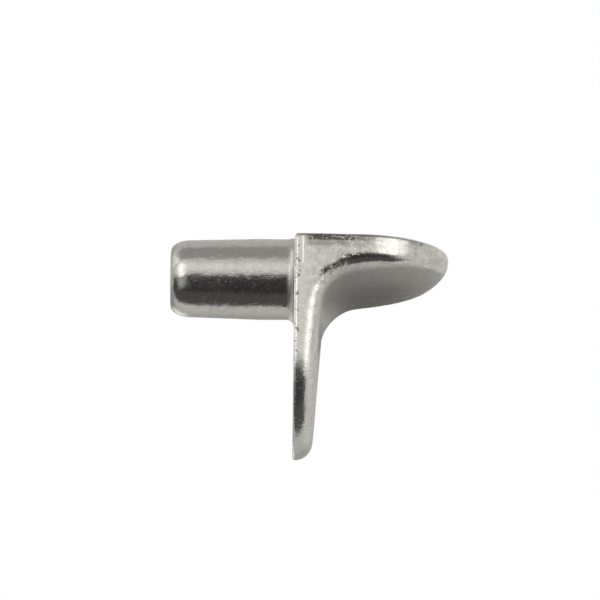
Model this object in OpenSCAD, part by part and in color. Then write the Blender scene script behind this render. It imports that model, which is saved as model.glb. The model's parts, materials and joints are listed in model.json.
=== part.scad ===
// Spoon-shaped shelf support pin for a 5 mm row of holes.
// One solid die casting: a round pin, a plate that lies against the cabinet side,
// and a flat-topped rest that carries the shelf.
// Frame: the pin's axis is the X axis and the plate's back face is at x = 0.
// The pin points along -X, the rest along +X, and +Z is up.

/* [Pin] */
// Diameter of the straight stretch that sits in the hole
pin_d = 5; // [3:0.1:7]
// Length of the pin from the plate's back face to its end
pin_l = 7.7; // [6:0.1:12]
// Length from the back face over which the pin keeps its full diameter
pin_straight_l = 2.4; // [1.5:0.1:4]
// Draft of the pin beyond its straight stretch, in degrees each side
pin_draft = 1.6; // [0.5:0.1:3]
// Length of the rounded end along the pin
pin_end_l = 1.25; // [0.5:0.05:1.5]
// Depth of the rounded end across the pin, on the radius
pin_end_depth = 0.68; // [0.3:0.02:1]
// Radius of the hollow fillet where the pin joins the plate
pin_root_r = 0.4; // [0.2:0.05:0.6]

/* [Plate] */
// Width of the plate and of the rest
body_w = 10.6; // [8:0.1:14]
// Distance from the pin's axis down to the lowest point of the plate
plate_drop = 11.5; // [9:0.1:16]
// Thickness of the plate at its lower end
plate_t = 1.1; // [0.9:0.05:1.6]
// Angle at which the plate's front face leans out towards the rest, in degrees
plate_taper = 4.1; // [2:0.1:5]

/* [Rest] */
// Height of the flat top above the pin's axis
rest_h = 1.5; // [0.8:0.1:3]
// Reach of the rest from the plate's back face to its tip
rest_l = 9.5; // [8.5:0.1:14]
// Thickness of the rest at its tip
rest_t = 1.3; // [1.1:0.05:1.8]
// Angle at which the underside falls from the tip to the plate, in degrees
rest_slope = 7.7; // [5:0.1:9]

/* [Corner, edges and dish] */
// Radius of the rim's curve in the inner corner between plate and rest
corner_r = 2.5; // [1.5:0.1:3]
// Radius that rounds the rim on the inner side, all along the outline
rim_r = 0.8; // [0.4:0.05:0.9]
// How far outside the side faces that rounding is struck
rim_overshoot = 0.03; // [0.01:0.01:0.08]
// How far the corner's curve is set back into the metal, so that it crosses both faces
corner_set = 0.01; // [0.005:0.005:0.03]
// Radius that breaks the edges of the back face and the flat top
edge_r = 0.2; // [0.1:0.05:0.3]
// Radius of the dish across the width
dish_r = 14.5; // [12:0.5:20]
// Depth of the dish below the rim in the inner corner
dish_depth = 0.6; // [0.3:0.05:0.8]
// How much thicker the wall behind the dish is than the plate's lower end
dish_foot_cover = 0.05; // [0.02:0.01:0.3]
// How much thicker the wall above the dish is than the tip of the rest
dish_tip_cover = 0.15; // [0.05:0.01:0.4]

/* [Hidden] */
$fn = 96;
nickel = [0.76, 0.75, 0.72];
half_w = body_w / 2;
pin_r = pin_d / 2;
pin_sink = 1.4 * edge_r;               // how far the pin starts inside the plate
spare = 1;                             // how far a cutting form runs past the metal
end_points = 10;                       // points on the rounded end and the root fillet

// The front face of the plate and the underside of the rest, each as its
// outward normal in the XZ plane and its distance from the origin.
front_normal = [cos(plate_taper), -sin(plate_taper)];
front_dist = front_normal * [plate_t, -plate_drop];
under_normal = [sin(rest_slope), -cos(rest_slope)];
under_dist = under_normal * [rest_l, rest_h - rest_t];

// Axis of the corner's curve: corner_r clear of both of those faces
corner_turn = 90 - plate_taper - rest_slope;
corner_x = ((front_dist + corner_r) * cos(rest_slope) - (under_dist + corner_r) * sin(plate_taper))
           / sin(corner_turn);
corner_z = ((front_dist + corner_r) * sin(rest_slope) - (under_dist + corner_r) * cos(plate_taper))
           / sin(corner_turn);
corner = [corner_x, corner_z];

// Centres of the half-round ends, in the middle of the metal there
foot = [plate_t / 2, half_w - plate_drop];
tip = [rest_l - half_w, rest_h - rest_t / 2];
front_foot = foot + front_normal * (front_dist - front_normal * foot);
under_tip = tip + under_normal * (under_dist - under_normal * tip);

// Depth of the inner forms, past the back face and the flat top
inner_depth = plate_t + rest_t + spare;

// The dish's curve in the corner and its axis
dish_corner_r = corner_r + dish_depth;
dish_x = plate_t + dish_foot_cover + dish_corner_r;
dish_z = rest_h - rest_t - dish_tip_cover - dish_corner_r;

function lift(p) = [p[0], 0, p[1]];

// Half of an arm's section: across on x, out of the metal on y, face at y = 0
module half_section(half, depth, r) {
    translate([0, -depth]) square([half, depth - r]);
    translate([0, -r]) square([half - r, r]);
    intersection() {
        translate([half - r, -r]) circle(r);
        translate([half - r, -r]) square([r, r]);
    }
}

// Straight arm whose face is at x = 0 and whose edges there are rounded.
// It runs along z and ends in a half round centred on the origin.
module arm(half, depth, length, r) {
    translate([0, 0, -length]) linear_extrude(length) {
        for (side = [0, 1]) mirror([0, side, 0])
            mirror([1, -1, 0]) half_section(half, depth, r);
    }
    rotate([0, 90, 0]) rotate([0, 0, 90]) rotate_extrude(angle = 180)
        half_section(half, depth, r);
}

// All that the back face, the flat top and their edges leave
module outer_form() {
    top_depth = rest_h + plate_drop + spare;
    intersection() {
        translate([0, 0, foot[1]]) rotate([0, 180, 0])
            arm(half_w, rest_l + spare, rest_h + spare - foot[1], edge_r);
        translate([tip[0], 0, rest_h]) mirror([1, 0, 0]) rotate([0, -90, 0])
            arm(half_w, top_depth, tip[0] + spare, edge_r);
        // the edge between the back face and the flat top
        translate([0, half_w + spare, 0]) rotate([90, 0, 0]) linear_extrude(body_w + 2 * spare) {
            translate([0, rest_h - top_depth]) square([rest_l + spare, top_depth - edge_r]);
            translate([edge_r, rest_h - edge_r]) square([rest_l + spare - edge_r, edge_r]);
            translate([edge_r, rest_h - edge_r]) circle(edge_r);
        }
    }
}

// All that lies behind the front face and above the underside, with the rounded rim
module inner_form() {
    half = half_w + rim_overshoot;
    translate(lift(front_foot)) rotate([0, plate_taper, 0]) mirror([0, 0, 1])
        arm(half, inner_depth, plate_drop + rest_h, rim_r);
    translate(lift(under_tip)) rotate([0, 90 - rest_slope, 0])
        arm(half, inner_depth, rest_l, rim_r);
    translate(lift(corner)) rotate([90, 0, 0]) rotate([0, 0, 90 + rest_slope])
        rotate_extrude(angle = corner_turn) translate([corner_r + corner_set, 0])
            for (side = [0, 1]) mirror([0, side, 0])
                mirror([1, -1, 0]) mirror([0, 1, 0]) half_section(half, corner_r, rim_r);
}

// Section of the dish, measured from the corner's axis, crown at x = -dish_corner_r
module dish_section() {
    intersection() {
        translate([dish_r - dish_corner_r, 0]) circle(dish_r);
        translate([-dish_corner_r, -half_w - spare]) square([dish_corner_r, body_w + 2 * spare]);
    }
}

// Shallow hollow of the inner side, which runs out towards the foot and the tip
module dish() {
    translate([dish_x, 0, dish_z]) {
        translate([0, 0, -plate_drop]) linear_extrude(plate_drop) dish_section();
        rotate([0, 90, 0]) linear_extrude(rest_l) dish_section();
        rotate([90, 0, 0]) rotate([0, 0, 90]) rotate_extrude(angle = 90)
            mirror([1, 0]) dish_section();
    }
}

// Quarter of an oval, size[0] by size[1], from [size[0], 0] to [0, size[1]],
// hollow towards the origin
function quarter(size) = [for (i = [0 : end_points])
    let (a = 90 * i / end_points) [size[0] * (1 - sin(a)), size[1] * (1 - cos(a))]];

// Pin: rounded shoulder and low lip, straight stretch, drafted stretch and rounded end.
// Its shoulder and lip stand free only above the flat top.
module pin() {
    draft_l = pin_l - pin_straight_l - pin_end_l;
    end_r = pin_r - draft_l * tan(pin_draft);
    lip_r = pin_r + pin_root_r / 5;
    lip_l = pin_root_r / 4;
    shoulder = quarter([0.7 * pin_root_r, pin_sink + lip_l]);
    rounded_end = quarter([pin_end_depth, pin_end_l]);
    rotate([0, -90, 0]) rotate_extrude()
        polygon(concat([[0, pin_l], [0, -pin_sink]],
                       [for (p = shoulder) [lip_r - p[0], p[1] - pin_sink]],
                       [[pin_r, 3 * lip_l], [pin_r, pin_straight_l]],
                       [for (i = [end_points : -1 : 0])
                           [end_r - rounded_end[i][0], pin_l - rounded_end[i][1]]]));
}

// Hollow fillet around the pin, only where the plate is behind it
module pin_root() {
    intersection() {
        rotate([0, -90, 0]) rotate_extrude() translate([pin_r, 0])
            polygon(concat([[-pin_sink, -pin_sink], [pin_root_r, -pin_sink]],
                           quarter([pin_root_r, pin_root_r]), [[-pin_sink, pin_root_r]]));
        translate([-pin_root_r, -body_w, -plate_drop])
            cube([plate_t, 2 * body_w, plate_drop + rest_h - edge_r]);
    }
}

module shelf_support_pin() {
    color(nickel) {
        difference() {
            intersection() {
                outer_form();
                inner_form();
            }
            dish();
        }
        pin();
        pin_root();
    }
}

shelf_support_pin();
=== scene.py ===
import json
import math

import bmesh
import bpy
from mathutils import Matrix, Vector


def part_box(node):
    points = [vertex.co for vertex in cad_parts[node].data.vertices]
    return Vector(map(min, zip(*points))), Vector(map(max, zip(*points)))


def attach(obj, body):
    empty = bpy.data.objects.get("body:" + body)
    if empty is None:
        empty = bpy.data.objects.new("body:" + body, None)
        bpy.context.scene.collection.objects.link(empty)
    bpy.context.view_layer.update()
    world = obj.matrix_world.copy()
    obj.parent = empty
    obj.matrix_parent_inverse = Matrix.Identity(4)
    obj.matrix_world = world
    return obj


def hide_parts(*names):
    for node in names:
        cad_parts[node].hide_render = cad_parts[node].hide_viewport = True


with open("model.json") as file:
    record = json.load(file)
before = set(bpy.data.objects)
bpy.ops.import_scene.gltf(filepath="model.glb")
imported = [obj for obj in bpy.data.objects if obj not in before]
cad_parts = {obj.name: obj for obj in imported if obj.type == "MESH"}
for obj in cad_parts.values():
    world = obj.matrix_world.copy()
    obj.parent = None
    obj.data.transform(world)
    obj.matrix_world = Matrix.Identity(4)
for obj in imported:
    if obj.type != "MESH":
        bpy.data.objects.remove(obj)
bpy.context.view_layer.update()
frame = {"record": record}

# The pin is modelled in millimetres round the frame's origin and brought to metres at the end
metre = 0.001
low, high = (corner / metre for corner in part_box("shelf_support_pin"))
mounts = {mount["name"]: mount for mount in frame["record"]["mounts"]}
seatHeight = mounts["shelf_seat"]["pos_m"][2] / metre
pinRadius = mounts["pin"]["dims"]["r_mm"]
halfWidth = high.y
print("frame loaded: reach", round(high.x, 2), "half width", round(halfWidth, 2), "seat", seatHeight)


def clearSelection():
    if bpy.context.object and bpy.context.object.mode != "OBJECT":
        bpy.ops.object.mode_set(mode="OBJECT")
    bpy.ops.object.select_all(action="DESELECT")


def startPiece(name):
    # names the primitive just added, settles its place in its mesh and opens it
    piece = bpy.context.object
    piece.name = piece.data.name = name
    bpy.ops.object.transform_apply(location=True, rotation=True, scale=True)
    bpy.ops.object.mode_set(mode="EDIT")
    return piece


def pick(kind, test):
    # selects the verts, edges or faces whose middle and self pass the test
    bpy.ops.mesh.select_mode(type=kind)
    bpy.ops.mesh.select_all(action="DESELECT")
    mesh = bmesh.from_edit_mesh(bpy.context.object.data)
    for item in {"VERT": mesh.verts, "EDGE": mesh.edges, "FACE": mesh.faces}[kind]:
        if kind == "VERT":
            middle = item.co
        elif kind == "EDGE":
            middle = (item.verts[0].co + item.verts[1].co) / 2
        else:
            middle = item.calc_center_median()
        if test(middle, item):
            item.select_set(True)
    bmesh.update_edit_mesh(bpy.context.object.data)


def near(a, b, gap=0.01):
    return abs(a - b) < gap


def runsAlong(edge, axis):
    way = (edge.verts[1].co - edge.verts[0].co).normalized()
    return abs(way[axis]) > 0.97


def extrudeAlongX(distance):
    bpy.ops.mesh.extrude_region_move(TRANSFORM_OT_translate={"value": (distance, 0, 0)})


def applyModifier(piece, kind, **settings):
    clearSelection()
    bpy.context.view_layer.objects.active = piece
    piece.select_set(True)
    modifier = piece.modifiers.new(kind.lower(), kind)
    for key, value in settings.items():
        setattr(modifier, key, value)
    bpy.ops.object.modifier_apply(modifier=modifier.name)


def sinkSkin(piece, name, sinks):
    # each vertex has a depth, by which the skin sinks there, and a share, which is kept as an attribute
    deepest = max(depth for depth, share in sinks)
    group = piece.vertex_groups.new(name=name)
    for index, (depth, share) in enumerate(sinks):
        if depth > 0:
            group.add([index], depth / deepest, "REPLACE")
    attribute = piece.data.attributes.new(name + "Share", "FLOAT", "POINT")
    attribute.data.foreach_set("value", [share for depth, share in sinks])
    applyModifier(piece, "DISPLACE", strength=-deepest, mid_level=0.0, direction="NORMAL", vertex_group=name)


def blendBetween(start, end, share):
    share = min(max(share, 0.0), 1.0)
    return start + (end - start) * share * share * (3 - 2 * share)


def blendOver(start, end, place, span):
    # eases from start to end over a span, which is given as its first place and its length
    return blendBetween(start, end, (place - span[0]) / span[1])


# Plate and rest, in millimetres
body = {
    "footLift": 0.12,          # the tumbled foot is a little shorter than drawn
    "tipReach": 0.03,          # and the tip a little longer
    "footThickness": 1.15,     # plate at its lower end
    "frontLean": 3.85,         # degrees the front face leans out towards the rest
    "tipThickness": 1.3,
    "underSlope": 7.7,         # degrees the underside falls from the tip to the plate
    "sideDraft": 2.6,          # degrees the sides close in away from the back face
    "cornerRadius": 2.5,
    "cornerRim": 0.72,         # radius of the inner rim in the corner
    "plateRim": 1.0,           # along the plate's sides
    "plateSpan": (0.5, 2.0),   # distance from the corner at which it starts to grow to that, and over what length
    "footRim": 0.98,
    "restRim": 0.97,           # where the rest's straight sides end
    "restSpan": (0.5, 1.8),
    "shoulderRim": 0.64,       # where the tip starts to turn
    "shoulderSpan": (0, 0.35),     # this and the tip's spans are shares of its half round
    "shoulderEnd": 0.4,
    "tipRim": 1.0,
    "tipSpan": (0.45, 0.5),
    "farShare": 0.72,          # what is left of the rest's rim on the +Y side
    "farTipShare": 0.45,
    "farTipSpan": (0.2, 0.4),
    "farSpanY": (-2, 4),       # one side's rim turns into the other's over this span along y,
    "farSpan": (1.2, 1.2),     # and they start to differ over this one from the corner
    "farFade": 5,              # over the last fifth of the tip they become alike again
    "backEdge": 0.1,           # radius of the edges of the back face
    "topEdge": 0.25,           # of the edges of the flat top
    "tipTopEdge": 0.15,
    "topBackEdge": 0.34,       # and of the edge between the two
    "sharpAngle": 35,          # degrees from which an edge is rounded
    "arcSteps": 30,
    "rimSteps": 8,
}
leanRise = math.tan(math.radians(body["frontLean"]))
underRise = math.tan(math.radians(body["underSlope"]))
sideTaper = math.tan(math.radians(body["sideDraft"])) / halfWidth
footEnd, tipEnd = low.z + body["footLift"], high.x + body["tipReach"]
footArc, tipArc = footEnd + halfWidth, tipEnd - halfWidth      # where the foot and the tip start to round


def frontAt(z):
    return body["footThickness"] + (z - footEnd) * leanRise


def undersideAt(x):
    return seatHeight - body["tipThickness"] - (high.x - x) * underRise


# where the front face and the underside would cross, and the turn of the curve between them
cornerX = frontAt(undersideAt(0)) / (1 - underRise * leanRise)
cornerZ = undersideAt(cornerX)
cornerTurn = math.radians(90 - body["frontLean"] - body["underSlope"])


def makeBody():
    clearSelection()
    bpy.ops.mesh.primitive_cube_add(size=1, location=(cornerX / 2, 0, (footEnd + seatHeight) / 2),
                                    scale=(cornerX, 2 * halfWidth, seatHeight - footEnd))
    piece = startPiece("plateAndRest")
    bpy.ops.mesh.select_all(action="SELECT")
    bpy.ops.mesh.bisect(plane_co=(0, 0, cornerZ), plane_no=(0, 0, 1))

    # the plate thins towards its foot, and the rest grows out of its upper part
    pick("VERT", lambda at, v: near(at.x, cornerX) and near(at.z, footEnd))
    bpy.ops.transform.translate(value=(body["footThickness"] - cornerX, 0, 0))
    pick("FACE", lambda at, f: f.normal.x > 0.99 and at.z > cornerZ)
    extrudeAlongX(tipEnd - cornerX)
    pick("VERT", lambda at, v: near(at.x, tipEnd) and near(at.z, cornerZ))
    bpy.ops.transform.translate(value=(0, 0, undersideAt(tipEnd) - cornerZ))

    bpy.ops.mesh.select_all(action="SELECT")
    bpy.ops.mesh.dissolve_limited(angle_limit=math.radians(0.5))

    # half-round foot, half-round tip and the hollow inner corner
    for isEnd in (lambda at, e: near(at.z, footEnd) and runsAlong(e, 0),
                  lambda at, e: near(at.x, tipEnd) and runsAlong(e, 2)):
        pick("EDGE", isEnd)
        bpy.ops.mesh.bevel(offset=halfWidth, segments=body["arcSteps"], profile=0.5, affect="EDGES",
                           clamp_overlap=True)
    pick("EDGE", lambda at, e: near(at.x, cornerX, 0.05) and near(at.z, cornerZ, 0.05) and runsAlong(e, 1))
    bpy.ops.mesh.bevel(offset=body["cornerRadius"] * math.tan(cornerTurn / 2), segments=body["arcSteps"] // 2,
                       profile=0.5, affect="EDGES")
    bpy.ops.mesh.select_all(action="SELECT")
    bpy.ops.mesh.remove_doubles(threshold=0.002)
    bpy.ops.mesh.normals_make_consistent(inside=False)
    bpy.ops.object.mode_set(mode="OBJECT")
    return piece


def farSide(at):
    # 0 on the -Y side, 1 on the +Y side
    return blendOver(0, 1, at.y, body["farSpanY"])


def rimAt(at):
    # radius of the inner rim at a point: small in the corner, larger along both arms
    along = max(at.x - cornerX, cornerZ - at.z)
    if at.x - cornerX < cornerZ - at.z:
        if at.z < footArc:
            return blendBetween(body["plateRim"], body["footRim"], (footArc - at.z) / halfWidth)
        return blendOver(body["cornerRim"], body["plateRim"], along, body["plateSpan"])
    turned = (at.x - tipArc) / halfWidth
    if turned < 0:
        rim = blendOver(body["cornerRim"], body["restRim"], along, body["restSpan"])
    elif turned < body["shoulderEnd"]:
        rim = blendOver(body["restRim"], body["shoulderRim"], turned, body["shoulderSpan"])
    else:
        rim = blendOver(body["shoulderRim"], body["tipRim"], turned, body["tipSpan"])
    fade = min(1.0, max(0.0, body["farFade"] - body["farFade"] * turned))
    narrow = farSide(at) * fade * blendOver(0, 1, along, body["farSpan"])
    return rim * (1 - narrow * (1 - blendOver(body["farShare"], body["farTipShare"], turned, body["farTipSpan"])))


def roundBody(piece):
    # every sharp edge gets its own radius
    widest = body["tipRim"]
    mesh = bmesh.new()
    mesh.from_mesh(piece.data)
    weight = mesh.edges.layers.float.new("bevel_weight_edge")
    for edge in mesh.edges:
        if edge.calc_face_angle() < math.radians(body["sharpAngle"]):
            continue
        at = (edge.verts[0].co + edge.verts[1].co) / 2
        onBack, onTop = near(at.x, 0), near(at.z, seatHeight)
        if onBack and onTop:
            radius = body["topBackEdge"]
        elif onBack:
            radius = body["backEdge"]
        elif onTop:
            radius = blendBetween(body["topEdge"], body["tipTopEdge"], (at.x - tipArc) / halfWidth)
        else:
            radius = rimAt(at)
        edge[weight] = radius / widest
    mesh.to_mesh(piece.data)
    mesh.free()
    applyModifier(piece, "BEVEL", width=widest, segments=body["rimSteps"], limit_method="WEIGHT",
                  profile=0.5, use_clamp_overlap=False)
    # the sides close in away from the back face
    applyModifier(piece, "SIMPLE_DEFORM", deform_method="TAPER", deform_axis="X", lock_z=True,
                  factor=-sideTaper * tipEnd)


# Pin, along -X from the plate's back face
pin = {
    "rootRadius": 0.4,
    "straightLength": 2.4,
    "draft": 1.6,              # degrees each side, past the straight stretch
    "endLength": 1.25,
    "endDepth": 0.68,
    "endWear": 0.05,           # how much shorter it is than drawn
    "lipFoot": -0.3,           # place along x of the lip, which shows only above the flat top
    "lipPlace": -0.1,
    "lipHeight": 0.08,
    "shoulderLength": 0.28,    # how far the rounded shoulder behind it stands in the plate
    "shoulderDepth": 0.28,
    "rootInside": 0.98,        # the fillet's mesh starts a little inside the pin
    "rootTop": 0.22,           # and ends this far under the flat top
    "sides": 120,
    "curveSteps": 10,
}


def growRing(x, radius):
    # extrudes the selected end to a new place along the pin and brings it to a radius
    mesh = bmesh.from_edit_mesh(bpy.context.object.data)
    corner = next(v.co for v in mesh.verts if v.select)
    growth = radius / math.hypot(corner.y, corner.z)
    extrudeAlongX(x - corner.x)
    bpy.ops.transform.resize(value=(1, growth, growth), center_override=(x, 0, 0))


def quarterSteps():
    return [math.radians(90 * step / pin["curveSteps"]) for step in range(1, pin["curveSteps"] + 1)]


def makePin():
    clearSelection()
    start, end = -pin["rootRadius"], -pin["straightLength"]
    bpy.ops.mesh.primitive_cylinder_add(vertices=pin["sides"], radius=pinRadius, depth=start - end,
                                        location=((start + end) / 2, 0, 0), rotation=(0, math.radians(90), 0))
    piece = startPiece("pinBar")
    # drafted stretch and rounded end
    endStart = low.x + pin["endWear"] + pin["endLength"]
    endRadius = pinRadius - (end - endStart) * math.tan(math.radians(pin["draft"]))
    pick("FACE", lambda at, f: f.normal.x < -0.9)
    growRing(endStart, endRadius)
    for angle in quarterSteps():
        growRing(endStart - pin["endLength"] * math.sin(angle), endRadius - pin["endDepth"] * (1 - math.cos(angle)))
    # low lip and rounded shoulder, which stand free above the flat top
    pick("FACE", lambda at, f: f.normal.x > 0.9)
    lipRadius = pinRadius + pin["lipHeight"]
    growRing(pin["lipFoot"], pinRadius)
    growRing(pin["lipPlace"], lipRadius)
    for angle in quarterSteps():
        growRing(pin["lipPlace"] + (pin["shoulderLength"] - pin["lipPlace"]) * math.sin(angle),
                 lipRadius - pin["shoulderDepth"] * (1 - math.cos(angle)))
    bpy.ops.object.mode_set(mode="OBJECT")
    return piece


def makeRoot():
    # hollow fillet round the pin, only where the plate is behind it
    clearSelection()
    depth = pin["rootRadius"] / 2
    bpy.ops.mesh.primitive_cylinder_add(vertices=pin["sides"], radius=pinRadius + pin["rootRadius"], depth=depth,
                                        location=(depth / 2, 0, 0), rotation=(0, math.radians(90), 0))
    piece = startPiece("pinRoot")
    pick("FACE", lambda at, f: f.normal.x < -0.9)
    for angle in quarterSteps():
        growRing(-pin["rootRadius"] * (1 - math.cos(angle)), pinRadius + pin["rootRadius"] * (1 - math.sin(angle)))
    growRing(-pin["rootRadius"], pinRadius * pin["rootInside"])
    bpy.ops.mesh.select_all(action="SELECT")
    bpy.ops.mesh.bisect(plane_co=(0, 0, seatHeight - pin["rootTop"]), plane_no=(0, 0, 1),
                        clear_outer=True, use_fill=True)
    bpy.ops.object.mode_set(mode="OBJECT")
    return piece


# Plate, rest and pin are one casting
casting = {
    "faceSize": 0.085,
    "settle": 4,               # passes that ease the edges, as tumbling does
    "waves": [                 # size and height of the unevenness left by casting and tumbling
        (3.2, 0.030),
        (0.9, 0.012),
        (0.35, 0.004),
    ],
    "waveOctaves": 2,
}


def joinCasting(pieces):
    clearSelection()
    for piece in pieces:
        piece.select_set(True)
    bpy.context.view_layer.objects.active = pieces[0]
    bpy.ops.object.join()
    whole = bpy.context.object
    whole.name = whole.data.name = "shelfSupportPin"
    applyModifier(whole, "REMESH", mode="VOXEL", voxel_size=casting["faceSize"], adaptivity=0.0)
    applyModifier(whole, "SMOOTH", factor=0.5, iterations=casting["settle"])
    return whole


def roughenCasting(whole):
    for number, (size, height) in enumerate(casting["waves"]):
        texture = bpy.data.textures.new("castingWave" + str(number), "CLOUDS")
        texture.noise_scale = size
        texture.noise_depth = casting["waveOctaves"]
        applyModifier(whole, "DISPLACE", texture=texture, texture_coords="LOCAL", strength=height, mid_level=0.5)


# Shallow dish of the inner side
dish = {
    "plateWall": 1.15,         # metal left behind the dish at its middle
    "restWall": 1.45,
    "cornerRadius": 3.1,
    "restEase": 1.5,           # how many times wider than high the rest's rim is
    "plateEase": 1.05,
    "tipEase": 1.1,
    "cornerLength": 3,         # over which the plate's ease turns into the rest's
    "start": 0.7,              # where in the rim the hollow starts
    "fullness": 1.5,           # power that rounds the hollow's slope
    "satinAndShadeSpan": (0.2, 0.6),   # shares of the rim over which the dull finish and the painted shade come in
    "depthLimit": 1.2,         # points further behind the dish's floor than this stay as they are,
    "topGap": 0.35,            # and so do points near the flat top or the back face
    "backGap": 0.1,
    "settle": 3,
}


def dishSink(at):
    # how far the inner side sinks at a point, and how dull it is there and how much painted shade darkens it
    sweepX, sweepZ = dish["plateWall"] + dish["cornerRadius"], seatHeight - dish["restWall"] - dish["cornerRadius"]
    if at.x > sweepX and at.z > sweepZ:
        deep = sweepZ + dish["cornerRadius"] - at.z
    elif at.z < sweepZ:
        deep = at.x - dish["plateWall"]
    else:
        deep = dish["cornerRadius"] - math.hypot(at.x - sweepX, at.z - sweepZ)
    if deep < -dish["depthLimit"] or at.z > seatHeight - dish["topGap"] or at.x < dish["backGap"]:
        return 0.0, 0.0
    out = abs(at.y)
    if at.x > tipArc:
        out = math.hypot(at.x - tipArc, at.y)
    elif at.z < footArc:
        out = math.hypot(at.z - footArc, at.y)
    rim = rimAt(at)
    restEase = dish["restEase"] + (1 - dish["restEase"]) * farSide(at)
    onRest = (at.x - cornerX + at.z - cornerZ) / dish["cornerLength"] + 0.5
    wide = rim * blendBetween(blendBetween(dish["plateEase"], restEase, onRest), dish["tipEase"],
                              (at.x - tipArc) / halfWidth)
    edge = halfWidth * (1 - at.x * sideTaper)
    inwards = max(edge - out, 0.0)
    # a round rim is as wide as it is high, and this one is wider
    roundShare = 1 - min(inwards / rim, 1)
    wideShare = 1 - min(inwards / wide, 1)
    ease = rim * (math.sqrt(1 - roundShare ** 2) - math.sqrt(1 - wideShare ** 2))
    ease *= math.sqrt(1 - roundShare ** 2)
    hollow = max(deep, 0.0) * max(0.0, 1 - (out / (edge - dish["start"] * wide)) ** 2) ** dish["fullness"]
    satinAndShade = blendOver(0, 1, inwards / wide, dish["satinAndShadeSpan"])
    return ease + hollow, satinAndShade


def hollowDish(whole):
    sinkSkin(whole, "dish", [dishSink(vertex.co) for vertex in whole.data.vertices])
    applyModifier(whole, "SMOOTH", factor=0.5, iterations=dish["settle"])


# The side faces roll off towards the back face, and knocks have left their marks
wear = {
    "sideTilt": 0.35,          # how far a surface faces Y at least to count as a side face
    "pinX": -0.1,              # the pin stays as it is, and so does the metal round it
    "pinClearance": 1.3,       # out to this many of its radii
    "rollEnd": (-6.9, -6.3),   # heights at which the roll starts and is full
    "rollWidth": 0.36,
    "rollDepth": 0.06,
    "step": (0.44, 0.62, 0.053),       # from and to along x, and depth, of the faint line beside that roll
    "stepEnd": -0.95,          # height at which it runs out
    "stepFade": 2,             # share of its depth that it gains with each millimetre above that
    "nickDepth": 0.02,
    "nickReach": 1.6,          # how far a nick spreads, in its size
    "nicks": [                 # place along x and z on the -Y side, and size
        (0.20, 1.16, 0.09), (0.27, 0.65, 0.08), (0.20, -0.19, 0.10), (0.31, -0.31, 0.08), (0.32, -1.02, 0.08),
        (0.24, -1.28, 0.10), (0.16, -1.45, 0.08), (0.22, -2.39, 0.10), (0.12, -2.46, 0.08), (0.16, -3.03, 0.07),
        (0.22, -3.50, 0.08), (0.15, -4.62, 0.10), (0.27, -4.80, 0.08), (1.66, -0.95, 0.09), (7.75, 1.28, 0.09),
        (3.10, 1.22, 0.10), (3.55, 1.16, 0.09), (3.95, 1.24, 0.08),
    ],
}


def wornSink(at, normal):
    # how far a point of the side faces sinks, and how deep in a nick it is, up to 1 at its middle
    onPin = at.x < wear["pinX"] or math.hypot(at.y, at.z) < wear["pinClearance"] * pinRadius
    if onPin or abs(normal.y) < wear["sideTilt"]:
        return 0.0, 0.0
    start, full = wear["rollEnd"]
    sink = wear["rollDepth"] * max(0.0, 1 - at.x / wear["rollWidth"]) ** 2
    sink *= blendBetween(0, 1, (at.z - start) / (full - start))
    fromX, toX, depth = wear["step"]
    if at.x < toX and at.z > wear["stepEnd"]:
        fade = min(1.0, wear["stepFade"] * (at.z - wear["stepEnd"]))
        sink += depth * blendBetween(0, 1, (toX - at.x) / (toX - fromX)) * fade
    nick = 0.0
    if normal.y < 0:
        for x, z, size in wear["nicks"]:
            nick = max(nick, 1 - math.hypot(at.x - x, at.z - z) / (wear["nickReach"] * size))
    return sink + nick * wear["nickDepth"], nick


print("shaping the casting")
plateAndRest = makeBody()
roundBody(plateAndRest)
shelfPin = joinCasting([plateAndRest, makePin(), makeRoot()])
hollowDish(shelfPin)
roughenCasting(shelfPin)
sinkSkin(shelfPin, "nick", [wornSink(vertex.co, vertex.normal) for vertex in shelfPin.data.vertices])

clearSelection()
shelfPin.select_set(True)
bpy.context.view_layer.objects.active = shelfPin
bpy.ops.object.mode_set(mode="EDIT")
bpy.ops.mesh.select_all(action="SELECT")
bpy.ops.transform.resize(value=(metre, metre, metre), center_override=(0, 0, 0))
bpy.ops.object.mode_set(mode="OBJECT")
bpy.ops.object.shade_smooth()
triangles = sum(len(face.vertices) - 2 for face in shelfPin.data.polygons)
print("casting:", len(shelfPin.data.polygons), "faces,", triangles, "triangles")
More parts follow.
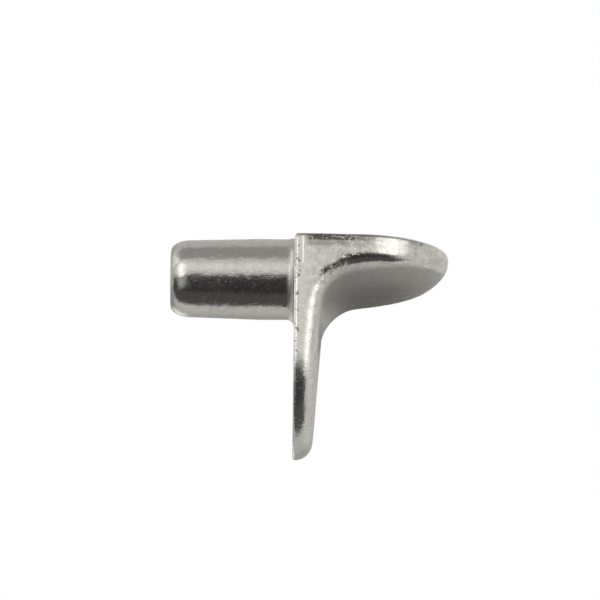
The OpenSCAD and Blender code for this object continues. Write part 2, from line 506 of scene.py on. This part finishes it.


# Bright nickel plate, rougher in the dish, with painted shade: the dish, its corner and the corner's rim are
# darkened, and a dark line lies under the flat top's edge.
# Places are in millimetres along x, y or z: two say where something starts and is full, and four also say where
# it starts to fade and ends. A range holds two values of a noise, and between them something comes in.
nickel = {
    "noise": {                             # scale and detail of each pattern
        "grain": (9, 2),
        "mottle": (2.4, 5),
        "cloud": (0.5, 3),
        "lineGaps": (1, 3),
        "lineSpecks": (7, 1),
        "specks": (6.5, 2),
        "nicks": (6, 2),
        "shadeBandSway": (3, 3),
        "shadeBand": (5, 3),
        "scuffs": (4, 3),
        "chips": (5, 2),
        "pits": (8.5, 1),
        "tipStreaks": (1.6, 2),
        "footStreaks": (3, 2),
    },
    "noiseRange": (0.3, 0.7),              # what most of a noise's values lie between

    "colour": (0.64, 0.628, 0.595),
    # painted shade: the dish's colour is darker, standing in for the shade that its mirror picks up
    "dishShadeColour": (0.575, 0.56, 0.517),
    "darkenedColour": (0.36, 0.35, 0.32),
    "mottleColour": (0.46, 0.45, 0.42),
    "grainColour": (0.38, 0.37, 0.34),
    # colour of real tarnish specks and nicks, and of painted shade
    "tarnishAndShade": (0.12, 0.115, 0.105),
    "shadeBandColour": (0.045, 0.043, 0.04),
    "shadeBandShare": 0.8,

    "roughness": 0.15,
    "roughnessSwing": 0.03,                # from place to place
    "dishRoughness": 0.34,
    "tarnishAndShadeRoughness": 0.45,
    "mottleRoughness": 0.05,               # what this and the next ones add
    "mottleRoughRange": (0.4, 0.7),
    "scuffRoughness": 0.16,
    "footRoughness": 0.045,
    "rootRoughness": 0.22,

    "lineX": (0.55, 1.0, 3.5, 5.8),        # painted shade: dark line under the flat top's edge
    "lineZ": (0.93, 1.05, 1.36, 1.44),
    "lineStretch": (1.6, 1.6, 5),
    "lineGapRange": (0.26, 0.41),
    "lineSpeckRange": (0.68, 0.60),        # bright specks break it
    "speckledX": (2.6, 3.0, 3.9, 4.3),     # and crowd here
    "speckledShare": 0.10,
    "shadeZ": (0.55, 0.78, 1.05, 1.2),     # lighter painted shade under that line
    "shadeRange": (0.3, 0.6),
    "shade": (0.15, 0.45),

    "speckRange": (0.73, 0.79),            # dark specks, which crowd by the back face, by that line and in the scuffs
    "speckShade": 0.7,
    "backX": (-0.05, 0.1, 0.15, 0.9),
    "backCrowd": 0.10,
    "speckLineZ": (0.35, 1.1, 1.36, 1.44),
    "speckLineCrowd": 0.12,
    "scuffCrowd": 0.10,
    "nickNoise": (-0.5, 0.25),             # noise that makes the nicks ragged, least and most
    "nickRange": (0.2, 0.65),
    "nickShade": 0.85,

    "scuffX": (1.5, 1.9, 3.1, 3.7),        # dull scuffed patch where the corner's rim starts
    "scuffZ": (-2.6, -2.0, -0.6, -0.2),
    "scuffY": (3.4, 4.3),                  # to both sides
    "shadeBandLine": (1.75, -1.0, 0.62),      # painted shade band there, a dark reflection on the corner's rim: a point of its line along x and z, and its slope
    "shadeBandX": (1.45, 1.9, 3.05, 3.5),
    "shadeBandWidth": (-0.32, -0.08, 0.06, 0.28),
    "shadeBandSway": (-0.14, 0.14),
    "shadeBandRange": (0.34, 0.52),
    "shadeBandDarkness": (0.15, 0.9),
    "shadeBandY": (-4.0, -4.6),
    "chipLine": (2.87, -0.04, 0.24),       # small chips beside it, along another line
    "chipX": (2.6, 2.9, 3.9, 4.3),
    "chipWidth": (-0.16, -0.06, 0.06, 0.14),
    "chipY": (-4.0, -4.4),

    "cornerShadeX": (1.2, 1.5, 2.8, 4.5),       # painted shade: the dish is darker where it turns the corner
    "cornerShadeZ": (-6.0, -4.0, 0.0, 0.5),
    "cornerShadeFade": (2.0, 2.7, 1.0, 0.5),    # from and to along x, and the shares there
    "endX": (-7.2, -7.45),                 # and the pin's end is darker
    "endShare": 0.8,
    "restX": (0.6, 1.3),                   # the rest is more mottled than the plate
    "restMottle": (0.30, 0.85),
    "mottleRange": (0.36, 0.66),
    "grainRange": (0.50, 0.74),
    "highlightSpotX": (4.6, 5.4, 6.5, 7.2),       # painted highlight: less so where the hot highlight falls on its side
    "highlightSpotY": (3.0, 4.0),
    "highlightSpotShare": 0.3,
    "rootX": (-0.5, -0.36, -0.06, 0.0),    # rougher ring at the pin's root
    "footZ": (-5.2, -6.4),                 # and rougher foot

    "grainHeight": 0.006,                  # heights and depths of the finest unevenness
    "pitDepth": 0.007,
    "pitRange": (0.66, 0.78),
    "speckDepth": 0.01,
    "scuffHeight": 0.05,
    "chipHeight": 0.10,
    "tipStreakHeight": 0.035,              # fine streaks that fan out under the tip
    "tipStreakX": (5.8, 8.8),
    "tipStreakCount": 15.0,
    "footStreakHeight": 0.014,             # and upright ones on the foot
    "footStreakZ": (-5.0, -6.0),
    "footStreakX": (0.04, 0.12),
    "footStretch": (2.2, 2.2, 0.3),
    "mottleHeight": (0.022, 0.011),        # of the rest, and of the plate below it
    "mottleZ": (-1.5, -2.8),
    "rawX": (-0.5, 0.0),                   # grain and mottle are full on the plate and the rest,
    "rawY": (1.8, 0.4),                    # and on the pin's -Y side
    "smooth": 0.2,                         # the share that the pin's far side has of them
}


def makeNickel():
    material = bpy.data.materials.new("nickelPlate")
    material.use_nodes = True
    nodes, links = material.node_tree.nodes, material.node_tree.links
    nodes.clear()
    output = nodes.new("ShaderNodeOutputMaterial")
    shader = nodes.new("ShaderNodeBsdfPrincipled")
    shader.inputs["Metallic"].default_value = 1.0
    links.new(shader.outputs["BSDF"], output.inputs["Surface"])
    place = nodes.new("ShaderNodeTexCoord").outputs["Object"]

    def stretched(x, y, z):
        # the place in millimetres times a scale along each axis
        node = nodes.new("ShaderNodeVectorMath")
        node.operation = "MULTIPLY"
        node.inputs[1].default_value = (x / metre, y / metre, z / metre)
        links.new(place, node.inputs[0])
        return node.outputs["Vector"]

    def noise(pattern, vector=None):
        node = nodes.new("ShaderNodeTexNoise")
        node.inputs["Scale"].default_value, node.inputs["Detail"].default_value = nickel["noise"][pattern]
        links.new(vector or inMillimetres, node.inputs["Vector"])
        return node.outputs["Fac"]

    def spread(value, fromLow, fromHigh, toLow=0.0, toHigh=1.0):
        node = nodes.new("ShaderNodeMapRange")
        for name, number in (("From Min", fromLow), ("From Max", fromHigh), ("To Min", toLow), ("To Max", toHigh)):
            node.inputs[name].default_value = number
        links.new(value, node.inputs["Value"])
        return node.outputs["Result"]

    def combine(way, *values):
        result = values[0]
        for value in values[1:]:
            node = nodes.new("ShaderNodeMath")
            node.operation = way
            for socket, item in zip(node.inputs, (result, value)):
                if isinstance(item, (int, float)):
                    socket.default_value = item
                else:
                    links.new(item, socket)
            result = node.outputs["Value"]
        return result

    def mixColours(share, first, second):
        node = nodes.new("ShaderNodeMix")
        node.data_type = "RGBA"
        links.new(share, node.inputs[0])
        for socket, value in ((node.inputs[6], first), (node.inputs[7], second)):
            if isinstance(value, tuple):
                socket.default_value = (*value, 1)
            else:
                links.new(value, socket)
        return node.outputs[2]

    def window(value, limits):
        # comes in between the first two limits and goes between the last two
        return combine("MULTIPLY", spread(value, limits[0], limits[1]), spread(value, limits[3], limits[2]))

    def attribute(name):
        node = nodes.new("ShaderNodeAttribute")
        node.attribute_name = name
        return node.outputs["Fac"]

    def aboveLine(line):
        # height over a slanting line, given as a point of it along x and z, and its slope
        startX, startZ, slope = line
        return combine("SUBTRACT", z, startZ, combine("MULTIPLY", combine("SUBTRACT", x, startX), slope))

    inMillimetres = stretched(1, 1, 1)
    split = nodes.new("ShaderNodeSeparateXYZ")
    links.new(inMillimetres, split.inputs["Vector"])
    x, y, z = split.outputs
    outwards = combine("ABSOLUTE", y, 0)
    inDish, inNick = attribute("dishShare"), attribute("nickShare")
    grain, mottle, cloud = noise("grain"), noise("mottle"), noise("cloud")

    # painted shade: dark line under the edge of the flat top, broken by bright specks, and lighter painted shade
    # below it
    alongLine = window(x, nickel["lineX"])
    speckled = combine("MULTIPLY", window(x, nickel["speckledX"]), nickel["speckledShare"])
    line = combine("MULTIPLY", alongLine, window(z, nickel["lineZ"]),
                   spread(noise("lineGaps", stretched(*nickel["lineStretch"])), *nickel["lineGapRange"]),
                   spread(combine("ADD", noise("lineSpecks"), speckled), *nickel["lineSpeckRange"]))
    shade = combine("MULTIPLY", alongLine, window(z, nickel["shadeZ"]),
                    spread(mottle, *nickel["shadeRange"], *nickel["shade"]))

    # specks of tarnish, most of them by the back face, by that line and where the corner starts
    nearBack = combine("MULTIPLY", window(x, nickel["backX"]), nickel["backCrowd"])
    nearLine = combine("MULTIPLY", alongLine, window(z, nickel["speckLineZ"]), nickel["speckLineCrowd"])
    scuffed = combine("MULTIPLY", window(x, nickel["scuffX"]), window(z, nickel["scuffZ"]),
                      spread(outwards, *nickel["scuffY"]))
    crowd = combine("ADD", noise("specks"), nearBack, nearLine, combine("MULTIPLY", scuffed, nickel["scuffCrowd"]))
    specks = spread(crowd, *nickel["speckRange"], 0.0, nickel["speckShade"])
    ragged = combine("ADD", inNick, spread(noise("nicks"), *nickel["noiseRange"], *nickel["nickNoise"]))
    nicks = spread(ragged, *nickel["nickRange"], 0.0, nickel["nickShade"])

    # painted shade: dark reflection band up the corner's rim
    offShadeBand = combine("ADD", aboveLine(nickel["shadeBandLine"]),
                        spread(noise("shadeBandSway"), *nickel["noiseRange"], *nickel["shadeBandSway"]))
    shadeBand = combine("MULTIPLY", window(x, nickel["shadeBandX"]), window(offShadeBand, nickel["shadeBandWidth"]),
                     spread(noise("shadeBand"), *nickel["shadeBandRange"], *nickel["shadeBandDarkness"]),
                     spread(y, *nickel["shadeBandY"]))
    dark = combine("MAXIMUM", line, specks, nicks, shadeBand, shade)

    # painted shade: darker colour in the dish
    colour = mixColours(inDish, nickel["colour"], nickel["dishShadeColour"])
    # painted shade: darker still where the dish turns the corner
    hollow = combine("MULTIPLY", window(x, nickel["cornerShadeX"]), window(z, nickel["cornerShadeZ"]), inDish,
                     spread(x, *nickel["cornerShadeFade"]))
    colour = mixColours(hollow, colour, nickel["darkenedColour"])
    # darker towards the pin's end
    colour = mixColours(spread(x, *nickel["endX"], 0.0, nickel["endShare"]), colour, nickel["darkenedColour"])
    # painted highlight: less mottle and grain where the hot highlight falls on the rest's side
    highlightSpot = combine("MULTIPLY", window(x, nickel["highlightSpotX"]), spread(outwards, *nickel["highlightSpotY"]),
                     nickel["highlightSpotShare"])
    onRest = combine("SUBTRACT", spread(x, *nickel["restX"], *nickel["restMottle"]), highlightSpot)
    for pattern, limits, second in ((mottle, nickel["mottleRange"], nickel["mottleColour"]),
                                    (grain, nickel["grainRange"], nickel["grainColour"])):
        colour = mixColours(combine("MULTIPLY", spread(pattern, *limits), onRest), colour, second)
    # real tarnish specks and nicks, and painted shade: the line under the flat top's edge, the shade below it and the
    # band on the corner's rim
    colour = mixColours(dark, colour, nickel["tarnishAndShade"])
    # painted shade: the band is darkened further
    colour = mixColours(combine("MULTIPLY", shadeBand, nickel["shadeBandShare"]), colour, nickel["shadeBandColour"])
    links.new(colour, shader.inputs["Base Color"])

    base, swing = nickel["roughness"], nickel["roughnessSwing"]
    rough = combine("ADD", spread(cloud, *nickel["noiseRange"], base - swing, base + swing),
                    spread(mottle, *nickel["mottleRoughRange"], 0.0, nickel["mottleRoughness"]),
                    combine("MULTIPLY", inDish, nickel["dishRoughness"] - base),
                    combine("MULTIPLY", scuffed, nickel["scuffRoughness"]),
                    spread(z, *nickel["footZ"], 0.0, nickel["footRoughness"]),
                    combine("MULTIPLY", window(x, nickel["rootX"]), nickel["rootRoughness"]),
                    combine("MULTIPLY", dark, nickel["tarnishAndShadeRoughness"] - base))
    links.new(rough, shader.inputs["Roughness"])

    # grain and mottle of the plate, with small pits; the far side of the pin has less of them
    rawness = combine("MAXIMUM", spread(x, *nickel["rawX"], nickel["smooth"], 1.0),
                      spread(y, *nickel["rawY"], nickel["smooth"], 1.0))
    pits = spread(noise("pits"), *nickel["pitRange"], 0.0, nickel["pitDepth"])
    raw = combine("MULTIPLY", combine("SUBTRACT", combine("MULTIPLY", grain, nickel["grainHeight"]), pits), rawness)
    mottled = combine("MULTIPLY", mottle, rawness, spread(z, *nickel["mottleZ"], *nickel["mottleHeight"]))

    # fine streaks that fan out under the tip, and upright ones on the foot
    turn = combine("ARCTAN2", y, combine("SUBTRACT", x, tipArc))
    fan = nodes.new("ShaderNodeCombineXYZ")
    links.new(combine("MULTIPLY", turn, nickel["tipStreakCount"]), fan.inputs["X"])
    underTip = combine("MULTIPLY", spread(x, *nickel["tipStreakX"]), inDish)
    tipStreaks = combine("MULTIPLY", noise("tipStreaks", fan.outputs["Vector"]), underTip,
                         nickel["tipStreakHeight"])
    footStreaks = combine("MULTIPLY", noise("footStreaks", stretched(*nickel["footStretch"])),
                          spread(z, *nickel["footStreakZ"], 0.0, nickel["footStreakHeight"]),
                          spread(x, *nickel["footStreakX"]))

    # the scuffed patch, and small chips along the upper side of the corner's dark band
    scuffs = combine("MULTIPLY", scuffed, noise("scuffs"), nickel["scuffHeight"])
    chipped = combine("MULTIPLY", window(x, nickel["chipX"]),
                      window(aboveLine(nickel["chipLine"]), nickel["chipWidth"]), spread(y, *nickel["chipY"]))
    chips = combine("MULTIPLY", chipped, combine("SUBTRACT", noise("chips"), 0.5), nickel["chipHeight"])

    height = combine("ADD", raw, mottled, tipStreaks, combine("MULTIPLY", specks, -nickel["speckDepth"]), scuffs,
                     chips, footStreaks)
    bump = nodes.new("ShaderNodeBump")
    bump.inputs["Distance"].default_value = metre
    links.new(height, bump.inputs["Height"])
    links.new(bump.outputs["Normal"], shader.inputs["Normal"])
    return material


shelfPin.data.materials.clear()
shelfPin.data.materials.append(makeNickel())
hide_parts("shelf_support_pin")
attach(shelfPin, "root")
print("nickel laid on")


# White room with long cards round the pin's axis, which the nickel mirrors
studio = {
    "distance": 0.1,           # from the pin's axis to each long card
    "lightColour": (1.0, 0.985, 0.966),
    "longCards": [             # name, from and to angle round the pin's axis (0 behind, 90 above, 180 in front),
                               # from and to along it, level, share of its length that fades out towards +X
        ("upperBackCard", 14, 90, -0.4, 0.04, 0.62, 0),
        ("rightUpperCard", 14, 90, 0.04, 0.25, 0.85, 0),
        ("topCard", 90, 133, -0.4, 0.25, 0.38, 0),
        ("frontSoftbox", 133, 184, -0.4, 0.25, 0.62, 0),
        ("frontFlag", 184, 236, -0.4, 0.13, 0.04, 0.1),
        ("lowerFlag", 236, 281, -0.4, 0.13, 0.09, 0.1),
        ("backCard", 281, 374, -0.4, 0.05, 0.44, 0),
        ("rightBackCard", 281, 374, 0.05, 0.25, 0.77, 0),
    ],
    "glowCards": [             # the same, then the shares that fade where the angle starts and ends, and its distance
        ("frontGlow", 134, 184, -0.39, 0.24, 0.98, 0, (0.5, 0.42), 0.098),
        ("lowerBackGlow", 281, 352, -0.39, 0.049, 0.68, 0, (0, 0.8), 0.098),
        ("leftBackGlow", 0, 67, -0.39, -0.04, 0.9, 0.2, (0, 0), 0.08),
        ("leftTopGlow", 67, 134, -0.39, -0.04, 1.3, 0.2, (0, 0), 0.08),
        ("tipGlow", 322, 362, -0.06, -0.007, 1.12, 0.3, (0.3, 0.3), 0.092),
        ("flagGlow", 184, 206, -0.39, 0.12, 0.11, 0.1, (0, 1), 0.098),
        ("rightLowerCard", 184, 281, 0.03, 0.26, 0.745, 0, (0, 0), 0.112),
    ],
    "endCards": [("leftEnd", -0.4, 0.7), ("rightEnd", 0.25, 0.84)],      # name, place along x, level
    "endSize": (0.4, 0.4),
    "softLights": [            # name, azimuth and elevation from the camera's side, width, height, level, fades
        ("rightSoftbox", 41, 12, 0.095, 0.105, 1.95, (0.5, 0.5, 0.3, 0.3)),
        ("leftSoftbox", -36, 12, 0.06, 0.09, 2.1, (0.5, 0.5, 0.4, 0.4)),
        ("leftLowCard", -38, -22, 0.085, 0.075, 0.5, (0.5, 0.5, 0.4, 0.4)),
    ],
    "softLightDistance": 0.085,
    "underShadeCard": (0.003, 0.0105, 0.0018, 0.010, -0.0017, 0.19),   # from and to along x and y, height, level
    "underShadeCardFade": (0.15, 0.65, 0.25, 0),
    "floorSize": 3,
    "floorDrop": 0.5,
    "floorColour": (0.8, 0.8, 0.79),
    "floorRoughness": 0.8,
}


def wayTo(azimuth, elevation):
    # unit vector from the pin, with azimuth 0 on the camera's side
    around, up = math.radians(azimuth), math.radians(elevation)
    return Vector((math.sin(around) * math.cos(up), -math.cos(around) * math.cos(up), math.sin(up)))


def emitter(name, level, fade):
    # plain glow; fade holds the shares of the card that fade out at its left, right, lower and upper edge
    material = bpy.data.materials.new(name)
    material.use_nodes = True
    nodes, links = material.node_tree.nodes, material.node_tree.links
    nodes.clear()
    output = nodes.new("ShaderNodeOutputMaterial")
    glow = nodes.new("ShaderNodeEmission")
    glow.inputs["Color"].default_value = (*studio["lightColour"], 1)
    glow.inputs["Strength"].default_value = level
    if not any(fade):
        links.new(glow.outputs["Emission"], output.inputs["Surface"])
        return material
    place = nodes.new("ShaderNodeTexCoord")
    split = nodes.new("ShaderNodeSeparateXYZ")
    links.new(place.outputs["UV"], split.inputs["Vector"])
    cover = None
    for (socket, start), share in zip((("X", 0), ("X", 1), ("Y", 0), ("Y", 1)), fade):
        if not share:
            continue
        ramp = nodes.new("ShaderNodeMapRange")
        ramp.interpolation_type = "SMOOTHSTEP"
        ramp.inputs["From Min"].default_value = start
        ramp.inputs["From Max"].default_value = start + share * (1 - 2 * start)
        links.new(split.outputs[socket], ramp.inputs["Value"])
        if cover is None:
            cover = ramp.outputs["Result"]
            continue
        both = nodes.new("ShaderNodeMath")
        both.operation = "MULTIPLY"
        links.new(cover, both.inputs[0])
        links.new(ramp.outputs["Result"], both.inputs[1])
        cover = both.outputs["Value"]
    clear = nodes.new("ShaderNodeBsdfTransparent")
    mix = nodes.new("ShaderNodeMixShader")
    links.new(cover, mix.inputs["Fac"])
    links.new(clear.outputs["BSDF"], mix.inputs[1])
    links.new(glow.outputs["Emission"], mix.inputs[2])
    links.new(mix.outputs["Shader"], output.inputs["Surface"])
    return material


def addCard(name, level, place, turn, size, fade=(0, 0, 0, 0)):
    clearSelection()
    bpy.ops.mesh.primitive_plane_add(size=1, location=place, rotation=turn)
    card = bpy.context.object
    card.name = card.data.name = name
    card.scale = (*size, 1)
    bpy.ops.object.transform_apply(location=True, rotation=True, scale=True)
    card.data.materials.append(emitter(name, level, fade))
    card.visible_camera = False
    card.visible_shadow = False
    card.visible_diffuse = False


def addLongCard(name, fromAngle, toAngle, fromX, toX, level, endFade, sideFades=(0, 0), reach=studio["distance"]):
    middle = math.radians((fromAngle + toAngle) / 2)
    width = 2 * reach * math.tan(math.radians(toAngle - fromAngle) / 2)
    firstFade, lastFade = sideFades
    addCard(name, level, ((fromX + toX) / 2, reach * math.cos(middle), reach * math.sin(middle)),
            (middle - math.radians(90), 0, 0), (toX - fromX, width), (0, endFade, lastFade, firstFade))


def buildStudio():
    # most of the glow cards stand in front of a long card, and their soft sides fade into it
    for card in studio["longCards"] + studio["glowCards"]:
        addLongCard(*card)
    for name, place, level in studio["endCards"]:
        addCard(name, level, (place, 0, 0), (0, math.radians(90), 0), studio["endSize"])
    for name, azimuth, elevation, width, height, level, fade in studio["softLights"]:
        away = wayTo(azimuth, elevation)
        addCard(name, level, away * studio["softLightDistance"], away.to_track_quat("Z", "Y").to_euler(),
                (width, height), fade)
    # a small dim card low behind the rest stands in for the shade there, and darkens the far half of the rest's
    # underside in its mirror
    fromX, toX, fromY, toY, z, level = studio["underShadeCard"]
    addCard("underShadeCard", level, ((fromX + toX) / 2, (fromY + toY) / 2, z), (0, 0, 0),
            (toX - fromX, toY - fromY), studio["underShadeCardFade"])


def buildWorld():
    world = bpy.data.worlds.new("whiteRoom")
    bpy.context.scene.world = world
    world.use_nodes = True
    background = world.node_tree.nodes["Background"]
    background.inputs["Color"].default_value = (1, 1, 1, 1)
    background.inputs["Strength"].default_value = 1.0


def buildFloor():
    clearSelection()
    bpy.ops.mesh.primitive_plane_add(size=studio["floorSize"], location=(0, 0, -studio["floorDrop"]))
    floor = bpy.context.object
    floor.name = floor.data.name = "floor"
    material = bpy.data.materials.new("paleFloor")
    material.use_nodes = True
    shader = material.node_tree.nodes["Principled BSDF"]
    shader.inputs["Base Color"].default_value = (*studio["floorColour"], 1)
    shader.inputs["Roughness"].default_value = studio["floorRoughness"]
    floor.data.materials.append(material)
    bpy.ops.object.transform_apply(location=True)


cameraView = {
    "sensor": 36,
    "clip": (0.01, 10),
    "azimuth": 0.0,
    "elevation": -16.5,
    "distance": 0.4,
    "frameWidth": 0.03715,     # what the frame takes in at the pin
    "shiftAlong": 0.00037,     # the aim point, right of the pin's axis at the back face
    "shiftUp": -0.00125,
    "roll": 0.6,
}


def placeCamera():
    data = bpy.data.cameras.new("camera")
    camera = bpy.data.objects.new("camera", data)
    bpy.context.scene.collection.objects.link(camera)
    bpy.context.scene.camera = camera
    data.sensor_width = cameraView["sensor"]
    data.lens = cameraView["sensor"] * cameraView["distance"] / cameraView["frameWidth"]
    data.clip_start, data.clip_end = cameraView["clip"]
    back = wayTo(cameraView["azimuth"], cameraView["elevation"])
    turn = (-back).to_track_quat("-Z", "Y")
    right, up = turn @ Vector((1, 0, 0)), turn @ Vector((0, 1, 0))
    aim = right * cameraView["shiftAlong"] + up * cameraView["shiftUp"]
    camera.location = aim + back * cameraView["distance"]
    camera.rotation_euler = (turn.to_matrix() @ Matrix.Rotation(math.radians(cameraView["roll"]), 3, "Z")).to_euler()


bpy.context.scene.view_settings.view_transform = "Standard"
buildStudio()
buildWorld()
buildFloor()
placeCamera()
print("studio ready")
